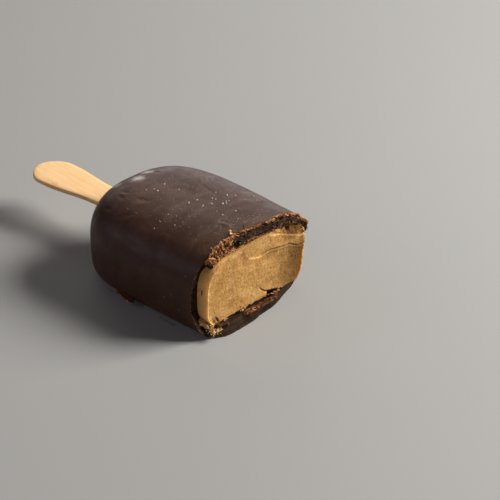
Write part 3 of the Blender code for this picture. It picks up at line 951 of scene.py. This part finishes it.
def make_lip_crumbs(edge, material):
    """Crumbs in front of the ice cream's foot and along the near rim, and chips along the bar's foot."""
    chunks = Chunks(23)
    draw = chunks.random.uniform
    for _ in range(240):
        place = (draw(0.1, 2.1), draw(-6.6, 4.5), draw(3.1, 3.4))
        chunks.add_crumb(place, draw(0.15, 0.7, 3), None, draw(-0.6, 0.0))
    for _ in range(60):
        place = (draw(0.2, 2.2), draw(4, 10), draw(3.05, 3.25))
        chunks.add_crumb(place, draw(0.15, 0.45, 3), None, draw(-0.2, 0.2))
    for _ in range(60):
        place, _ = edge.at(draw(0.19, 0.34), draw(0, 0.06), 0.0)
        chunks.add_crumb(place, draw(0.1, 0.35, 3), None, draw(0, 0.4))
    # The flake in the hole under the crack.
    for _ in range(16):
        place = (draw(-0.1, 0.7), draw(5.6, 9.6), draw(4.2, 4.8))
        chunks.add_crumb(place, (draw(1.0, 2.6), draw(0.4, 0.8), draw(0.2, 0.5)), (0.1, 1, -0.3), draw(-0.1, 0.35))
    for _ in range(5):
        chunks.add_crumb((draw(0.4, 0.9), draw(8.6, 9.6), draw(4.2, 5.2)), (1.2, 0.4, 0.3), (0.2, 0.5, 1), draw(0.5, 0.9))
    # Crumbs along the lower edge of the chip at the foot of the near side.
    for _ in range(46):
        way = draw(0, 1)
        place = (-38.2 + 7.6 * way, -25.5, 2.5 - 1.5 * way + 0.4 * sin(pi * way))
        chunks.add_crumb(place + draw(-0.15, 0.15, 3), draw(0.2, 0.6, 3), (1, 0, -0.2), draw(0, 0.6))
    chunks.add_shaving((-39.0, -25.0, 3.0), (0.6, -0.25, 0.75), (2.4, 0.45, 0.3), 0.5, 0.35)
    chunks.add_lump((-33.0, -25.4, 1.4), (1.1, 0.6, 0.5), (1, 0, -0.2), 1.2)
    chunks.add_crumb((-30.9, -25.9, 8.2), (0.5, 0.4, 0.5), None, 0.8)
    chunks.add_crumb((-26.1, -23.9, 1.6), (0.8, 0.5, 0.6), (0, 0, 1), 0.9)
    for start, end in ((-44.5, -40.6), (-19.8, -12.8)):
        for x in np.linspace(start, end, int(3 * (end - start))):
            chunks.add_crumb((x, -24.0, 0.7) + draw(-0.12, 0.12, 3), draw(0.2, 0.5, 3), (1, 0, 0), draw(-0.1, 0.6))
    for x, y, z in ((-8.8, -25.5, 9.1), (-12, -25.6, 13.3), (-15.2, -25.8, 11.1), (-6.9, -24.2, 21.7)):
        chunks.add_crumb((x, y, z), draw(0.3, 0.45, 3), None, 0.7)
    chunks.piece("lip_crumbs", material, "dark_chocolate")


def make_ice_crumbs(material):
    """The ragged near corner of the ice cream, smeared over the lip."""
    chunks = Chunks(29)
    draw = chunks.random.uniform
    # Lumps carry the corner down to the lip, back along the wall's foot and forward in ragged fingers.
    for _ in range(24):
        way = draw(0, 1)
        place = (-3.0 + 3.4 * way, -21.8 + 2.5 * way**2, 5.9 - 2.1 * way)
        sizes = draw(1.8, 3.2), draw(1.3, 2.2), draw(0.9, 1.7)
        chunks.add_lump(place + draw(-0.4, 0.4, 3), sizes, (1, 0.5 + draw(-0.5, 0.5), draw(-0.7, 0.2)), draw(0.2, 0.9))
    for _ in range(14):
        place = (draw(0.6, 2.0), draw(-21.2, -17.6), draw(2.9, 3.3))
        chunks.add_lump(place, (draw(1.0, 1.8), draw(0.7, 1.2), draw(0.4, 0.8)), (1, draw(-0.4, 0.9), -0.3), draw(0.5, 1))
    for _ in range(50):
        place = (draw(-1.0, 2.8), draw(-21.8, -17.2), draw(2.4, 3.6))
        chunks.add_crumb(place, draw(0.2, 0.7, 3), None, draw(0.4, 1))
    for near_end, far_end, number in ((-7.2, -4.8, 14), (-14.8, -13.2, 8)):
        for _ in range(number):
            place = (draw(-0.2, 0.15), draw(near_end, far_end), draw(4.0, 4.5))
            chunks.add_crumb(place, draw(0.3, 0.8, 3), None, draw(0.2, 0.9))
    chunks.piece("ice_cream_crumbs", material, "coffee_ice_cream", 120)


# Groups of larger frost crystals on top of the bar: x, share round, their number.
CRYSTALS = ((-24, 0.50, 6), (-22, 0.525, 5), (-24, 0.58, 3), (-16, 0.61, 3), (-16, 0.52, 6), (-24, 0.40, 3), (-40, 0.48, 5))


def make_frost(material):
    chunks = Chunks(11)
    draw = chunks.random.uniform
    spots = []
    for x, share, number in CRYSTALS:
        spots += [(x + draw(-4, 4), share + draw(-0.03, 0.03), draw(0.45, 0.75)) for _ in range(number)]
    spots += [(draw(-48, -4.5), draw(0.38, 0.63), draw(0.08, 0.2)) for _ in range(240)]
    spots += [(draw(-14, -5), draw(0.43, 0.54), draw(0.08, 0.22)) for _ in range(110)]
    spots += [(draw(-30, -20), draw(0.39, 0.47), draw(0.08, 0.2)) for _ in range(60)]
    for x, share, size in spots:
        place = skin_points(np.array([x]), angles_at(np.array([share])))[0]
        chunks.add_crumb(place + (0, 0, size * 0.12), (size, size * 0.9, size * 0.7))
    chunks.piece("frost_crystals", material, "frost")


# ---------------------------------------------------------------- stage

VIEW_AZIMUTH = radians(44.41)
VIEW_ELEVATION = radians(31.07)
VIEW_DISTANCE = 600
VIEW_TARGET = (-11.43, 8.79, 15.0)


def make_camera():
    camera = bpy.data.cameras.new("camera")
    camera.lens = 134.26
    camera.sensor_width = 36
    camera.clip_start = 0.01
    seat = bpy.data.objects.new("camera", camera)
    flat = cos(VIEW_ELEVATION)
    back = Vector((sin(VIEW_AZIMUTH) * flat, -cos(VIEW_AZIMUTH) * flat, sin(VIEW_ELEVATION)))
    seat.location = Vector(placed(VIEW_TARGET)) + back * VIEW_DISTANCE * MM
    seat.rotation_euler = back.to_track_quat("Z", "Y").to_euler()
    bpy.context.scene.collection.objects.link(seat)
    bpy.context.scene.camera = seat


def make_light(name, place, size, power, colour):
    """A square soft light, aimed at the bar."""
    light = bpy.data.lights.new(name, "AREA")
    light.size = size
    light.energy = power
    light.color = colour
    lamp = bpy.data.objects.new(name, light)
    lamp.location = place
    lamp.visible_camera = False
    lamp.rotation_euler = (Vector(place) - Vector((CUT_X / 2, 0, 0.01))).to_track_quat("Z", "Y").to_euler()
    bpy.context.scene.collection.objects.link(lamp)


def make_stage():
    f = Finish("pale_floor")
    colour = f.mix(f.noise(0.2), (0.315, 0.315, 0.31), (0.335, 0.335, 0.33))
    material = f.done(colour, 0.75, Specular_IOR_Level=0.1)
    mesh = bpy.data.meshes.new("floor")
    side = 3.0
    mesh.from_pydata([(-side, -side, 0), (side, -side, 0), (side, side, 0), (-side, side, 0)], [], [(0, 1, 2, 3)])
    mesh.materials.append(material)
    floor = bpy.data.objects.new("floor", mesh)
    bpy.context.scene.collection.objects.link(floor)
    make_light("key", (0.50, 0.62, 0.54), 0.45, 18.8, (1.0, 0.97, 0.92))
    make_light("band", (-0.42, -0.50, 0.34), 0.36, 0.60, (0.97, 0.82, 1.0))
    make_light("fill", (0.40, -0.58, 0.24), 0.5, 0.5, (1.0, 0.93, 0.86))
    make_light("sheen", (-0.72, 0.42, 0.42), 0.6, 1.4, (1.0, 0.90, 0.82))
    make_light("rim", (-0.48, 0.62, 0.14), 0.35, 0.62, (0.97, 0.97, 1.0))
    world = bpy.data.worlds.new("studio")
    world.use_nodes = True
    world.node_tree.nodes["Background"].inputs["Color"].default_value = (0.9, 0.95, 1.0, 1)
    world.node_tree.nodes["Background"].inputs["Strength"].default_value = 0.04
    bpy.context.scene.world = world
    bpy.context.scene.view_settings.view_transform = "Standard"


def main():
    make_camera()
    make_stage()
    edge = make_shell(chocolate_skin(), broken_chocolate())
    make_ice_cream(coffee_ice_cream())
    make_stick(stick_wood())
    crumbs = crumb_chocolate()
    make_break_crumbs(edge, crumbs)
    make_lip_crumbs(edge, crumbs)
    make_chips(edge, chip_chocolate())
    make_ice_crumbs(pale_ice_cream())
    make_frost(frost_white())


main()
